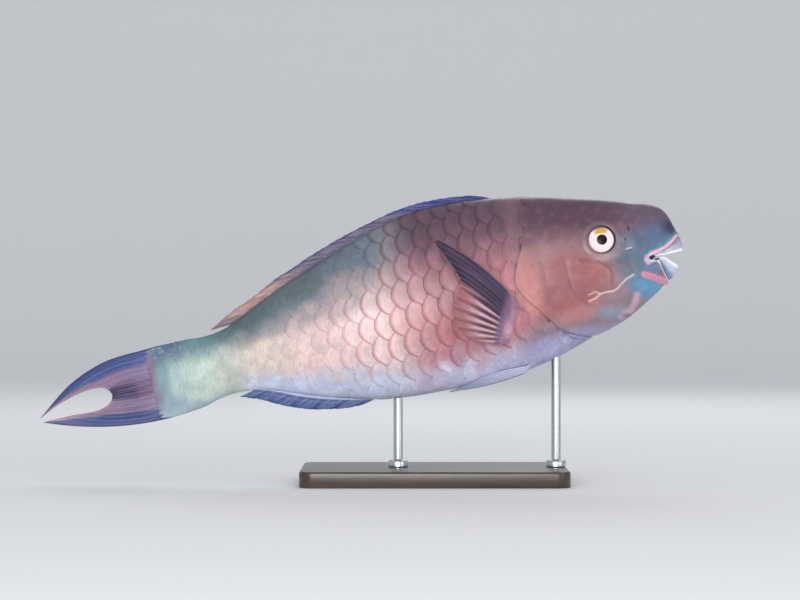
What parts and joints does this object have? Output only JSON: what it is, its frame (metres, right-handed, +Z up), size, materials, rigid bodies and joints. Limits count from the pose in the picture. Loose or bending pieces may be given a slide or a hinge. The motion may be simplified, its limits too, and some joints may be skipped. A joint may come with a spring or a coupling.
{
  "type": "parrotfish model on a display stand",
  "caption": "Life-size still model of a large parrotfish swimming nose up, beak slightly open, held on upright rods over a plain flat base.",
  "frame": {"origin": "centre of the base's underside, on the floor", "axes": "+X towards the fish's head, +Y to the fish's left, +Z up"},
  "size_m": [0.4857, 0.1254, 0.217],
  "materials": {
    "head_skin": "smooth, slightly wet-looking fish skin, grey mauve above, salmon on the cheek and blue round the mouth",
    "scaled_skin": "large overlapping scales, pink-edged on the flank, pale mint on the tail stalk, lavender on the belly",
    "beak": "hard fused teeth, pale with a white cutting edge",
    "eye": "clear domed eye with a pale gold iris and a black pupil",
    "fin": "thin ribbed fin web, blue margins with lavender and pink bands",
    "pectoral_fin": "thin ribbed fin web, dark slate above and clear pinkish below",
    "stand_base": "dark stained hardwood with a satin lacquer and a fine straight grain",
    "stand_rod": "brushed round bar"
  },
  "bodies": {
    "root": {"head": "head_skin", "torso": "scaled_skin", "tail_stalk": "scaled_skin", "upper_beak": "beak", "lower_beak": "beak", "eye_right": "eye", "eye_left": "eye", "dorsal_fin": "fin", "anal_fin": "fin", "caudal_fin": "fin", "pectoral_fin_right": "pectoral_fin", "pectoral_fin_left": "pectoral_fin", "pelvic_fin_right": "fin", "pelvic_fin_left": "fin", "stand_base": "stand_base", "stand_rod_front": "stand_rod", "stand_rod_rear": "stand_rod"}
  },
  "joints": []
}
